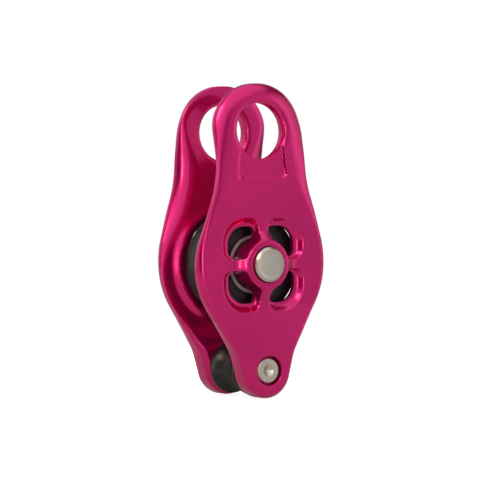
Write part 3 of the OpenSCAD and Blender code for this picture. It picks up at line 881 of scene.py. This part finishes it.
def ground_steel(name, colour, roughness):
    """Hard bright steel with a few fine streaks."""
    f = Finish(name, 1.0, roughness)
    streaks = f.noise(1800, 3, stretch=(1, 0.08, 1))
    f.colour(tuple(c * 0.85 for c in colour), colour, f.ramp(streaks, 0.35, 0.65, 0, 1))
    f.roughness(f.ramp(streaks, 0.35, 0.65, roughness, roughness + 0.1))
    f.bump((streaks, 0.0000008))
    return f.material


def pressed_brass():
    """Brass sheet with cloudy tarnish."""
    f = Finish("pressed_brass", 1.0, 0.35)
    tarnish = f.noise(600, 4)
    f.colour((0.34, 0.2, 0.07), (0.62, 0.43, 0.18), f.ramp(tarnish, 0.35, 0.65, 0, 1))
    f.roughness(f.ramp(tarnish, 0.3, 0.7, 0.28, 0.5))
    f.bump((tarnish, 0.000006))
    return f.material


def seal_rubber():
    """Matt black nitrile with moulding grain."""
    f = Finish("nitrile_rubber", 0.0, 0.62)
    grain = f.noise(5000, 3)
    f.colour((0.012, 0.011, 0.011), (0.026, 0.024, 0.024), f.ramp(f.noise(500, 2), 0.3, 0.7, 0, 1))
    f.roughness(f.ramp(grain, 0.3, 0.7, 0.55, 0.72))
    f.bump((grain, 0.000008))
    return f.material


def satin_black():
    """Black anodised aluminium with a satin turned surface."""
    f = Finish("satin_black_anodised", 0.75, 0.34)
    lines = f.noise(2400, 2, stretch=(0.05, 1, 0.05))
    patches = f.noise(260, 3)
    f.colour((0.03, 0.03, 0.029), (0.058, 0.057, 0.053), f.ramp(patches, 0.3, 0.7, 0, 1))
    f.roughness(f.ramp(patches, 0.3, 0.7, 0.28, 0.4))
    f.bump((lines, 0.000002), (f.noise(4200, 2), 0.000003))
    return f.material


# ---- assembly ----

NODE_BODY = {name: node["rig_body"] for name, node in frame["nodes"].items()}


def install(piece, node, material):
    """Puts a detailed piece in the place of a CAD node."""
    piece.data.materials.append(material)
    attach(piece, NODE_BODY[node])
    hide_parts(node)


def repaint(node, material):
    """Gives a carried-over CAD node a material."""
    thing = frame["nodes"][node]
    thing.data.materials.clear()
    thing.data.materials.append(material)


magenta = anodised_magenta()
axle_steel = turned_steel("turned_stainless_axle", AXLE_Z, 0.32, (0.60, 0.555, 0.475), 0.3)
bolt_steel = turned_steel("turned_stainless_bolt", BOLT_Z, 0.32, (0.60, 0.56, 0.49), 0.28)
race_steel = ground_steel("ground_race_steel", (0.86, 0.82, 0.8), 0.42)
ball_steel = ground_steel("polished_ball_steel", (0.78, 0.78, 0.78), 0.06)
brass = pressed_brass()
rubber = seal_rubber()

install(side_plate("front_plate", FRONT), "front_side_plate", magenta)
install(side_plate("rear_plate", REAR), "rear_side_plate", magenta)
install(sheave_piece(), "sheave", hard_anodised())
install(axle_piece(), "main_axle", axle_steel)
install(axle_cap_piece(), "axle_end_cap", axle_steel)
install(bolt_piece(), "becket_bolt", bolt_steel)
install(nut_piece(), "becket_nut", bolt_steel)
install(spool_piece(), "becket_spacer", satin_black())
for which in ("front", "rear"):
    repaint(f"{which}_bearing_outer_race", race_steel)
    repaint(f"{which}_bearing_inner_race", race_steel)
    repaint(f"{which}_bearing_balls", ball_steel)
    repaint(f"{which}_bearing_cage", brass)
    repaint(f"{which}_bearing_outer_seal", rubber)
    repaint(f"{which}_bearing_inner_seal", rubber)
    repaint(f"{which}_shim_washer", race_steel)
repaint("inner_race_spacer", race_steel)


# ---- stage, light and camera ----

def direction(azimuth, elevation):
    """Unit vector towards a place seen from the object. Azimuth 0 is in front, and 90 towards +X."""
    a, e = math.radians(azimuth), math.radians(elevation)
    return Vector((math.sin(a) * math.cos(e), -math.cos(a) * math.cos(e), math.sin(e)))


FOCUS = Vector((0, 0, (AXLE_Z + 8.2) * MM))
WARM_WHITE = (1, 0.78, 0.58)

# Rectangular lights: azimuth, elevation, distance, width, height, strength. Sizes are in metres.
SOFTBOXES = {
    "top_left_softbox": (-62, 42, 0.9, 0.5, 0.3, 5.5),
    "low_left_softbox": (-60, -34, 0.7, 0.42, 0.2, 5.0),
    "front_strip": (-39, -3, 0.95, 0.075, 0.5, 12.0),
    "right_strip": (98, 14, 0.9, 0.06, 0.5, 2.0),
}

# Soft lobes of the surround's light: azimuth, elevation, half angles of full and no light, strength.
SURROUND = (
    (0, 60, 30, 46, 1.1),
    (0, -60, 30, 46, 0.7),
    (180, 50, 30, 70, 0.35),
    (-46, 34, 10, 26, 0.8),
    (-46, -34, 10, 26, 0.7),
    (36, 0, 16, 34, 0.56),
    (-22, 3, 12, 30, 0.95),
    (62, 8, 16, 28, 0.75),
    (118, 3, 8, 18, 0.90),
    (-135, 5, 30, 60, 0.55),
)
SURROUND_BASE = 0.06

FLOOR_HALF = 0.26
FLOOR_GAP = 0.0004     # between the object's lowest point and the floor
FLOOR_GREY = 0.55
FLOOR_GLOW = {"seen": 0.85, "lit": 0.12}

# The photo's view: a long lens, a little to the left of the front plate and nearly level.
CAMERA_AZIMUTH = -33.5
CAMERA_ELEVATION = 1.2
CAMERA_ROLL = math.radians(1.04)
CAMERA_DISTANCE = 0.8
CAMERA_SHIFT = 0.00026  # to the left
LENS_MM = 174.4
SENSOR_MM = 36


def softbox(name, azimuth, elevation, distance, width, height, strength):
    """An even rectangular light that faces the object."""
    light = bpy.data.lights.new(name, "AREA")
    light.shape = "RECTANGLE"
    light.size, light.size_y = width, height
    light.color = WARM_WHITE
    light.energy = strength * width * height * math.pi
    holder = bpy.data.objects.new(name, light)
    towards = direction(azimuth, elevation)
    holder.location = FOCUS + towards * distance
    holder.rotation_mode = "QUATERNION"
    holder.rotation_quaternion = towards.to_track_quat("Z", "Y")
    bpy.context.scene.collection.objects.link(holder)


def pale_floor():
    """A pale floor. It glows to the camera, to meet the background, and lights the object little."""
    half = FLOOR_HALF
    low = CAD_BOX[0].z - FLOOR_GAP
    mesh = bpy.data.meshes.new("studio_floor")
    corners = [(-half, -half, low), (half, -half, low), (half, half, low), (-half, half, low)]
    mesh.from_pydata(corners, [], [(0, 1, 2, 3)])
    floor = bpy.data.objects.new("studio_floor", mesh)
    bpy.context.scene.collection.objects.link(floor)
    material = bpy.data.materials.new("pale_floor")
    material.use_nodes = True
    nodes, links = material.node_tree.nodes, material.node_tree.links
    shader = nodes["Principled BSDF"]
    shader.inputs["Base Color"].default_value = (FLOOR_GREY, FLOOR_GREY, FLOOR_GREY, 1)
    shader.inputs["Roughness"].default_value = 0.9
    shader.inputs["Emission Color"].default_value = (1, 1, 1, 1)
    ray = nodes.new("ShaderNodeLightPath")
    glow = nodes.new("ShaderNodeMapRange")
    glow.inputs["To Min"].default_value = FLOOR_GLOW["lit"]
    glow.inputs["To Max"].default_value = FLOOR_GLOW["seen"]
    links.new(ray.outputs["Is Camera Ray"], glow.inputs["Value"])
    links.new(glow.outputs["Result"], shader.inputs["Emission Strength"])
    mesh.materials.append(material)


def studio_world():
    """A world that the camera sees as white, and that lights the object by soft lobes on a dim base."""
    world = bpy.data.worlds.new("studio")
    bpy.context.scene.world = world
    world.use_nodes = True
    nodes, links = world.node_tree.nodes, world.node_tree.links
    nodes.clear()
    out = nodes.new("ShaderNodeOutputWorld")
    mix = nodes.new("ShaderNodeMixShader")
    seen, lit = nodes.new("ShaderNodeBackground"), nodes.new("ShaderNodeBackground")
    seen.inputs["Color"].default_value = (1, 1, 1, 1)
    place = nodes.new("ShaderNodeTexCoord")
    total = None
    for azimuth, elevation, full, none, strength in SURROUND:
        aim = nodes.new("ShaderNodeVectorMath")
        aim.operation = "DOT_PRODUCT"
        aim.inputs[1].default_value = direction(azimuth, elevation)
        span = nodes.new("ShaderNodeMapRange")
        span.interpolation_type = "SMOOTHSTEP"
        span.inputs["From Min"].default_value = math.cos(math.radians(none))
        span.inputs["From Max"].default_value = math.cos(math.radians(full))
        span.inputs["To Max"].default_value = strength
        add = nodes.new("ShaderNodeMath")
        links.new(place.outputs["Generated"], aim.inputs[0])
        links.new(aim.outputs["Value"], span.inputs["Value"])
        links.new(span.outputs["Result"], add.inputs[0])
        if total is None:
            add.inputs[1].default_value = SURROUND_BASE
        else:
            links.new(total, add.inputs[1])
        total = add.outputs[0]
    ray = nodes.new("ShaderNodeLightPath")
    links.new(total, lit.inputs["Strength"])
    links.new(ray.outputs["Is Camera Ray"], mix.inputs[0])
    links.new(lit.outputs[0], mix.inputs[1])
    links.new(seen.outputs[0], mix.inputs[2])
    links.new(mix.outputs[0], out.inputs[0])


def photo_camera():
    """The camera, tilted by its roll, at the photo's view of the object."""
    roll = CAMERA_ROLL
    back = direction(CAMERA_AZIMUTH, CAMERA_ELEVATION)
    right = Vector((0, 0, 1)).cross(back).normalized()
    up = back.cross(right)
    tilted_right = right * math.cos(roll) - up * math.sin(roll)
    tilted_up = right * math.sin(roll) + up * math.cos(roll)
    data = bpy.data.cameras.new("camera")
    data.lens = LENS_MM
    data.sensor_width = SENSOR_MM
    camera = bpy.data.objects.new("camera", data)
    turn = Matrix((tilted_right, tilted_up, back)).transposed()
    place = FOCUS - right * CAMERA_SHIFT + back * CAMERA_DISTANCE
    camera.matrix_world = Matrix.Translation(place) @ turn.to_4x4()
    bpy.context.scene.collection.objects.link(camera)
    bpy.context.scene.camera = camera


pale_floor()
studio_world()
for light_name, settings in SOFTBOXES.items():
    softbox(light_name, *settings)
photo_camera()
bpy.context.scene.view_settings.view_transform = "Standard"
bpy.context.scene.view_settings.look = "None"
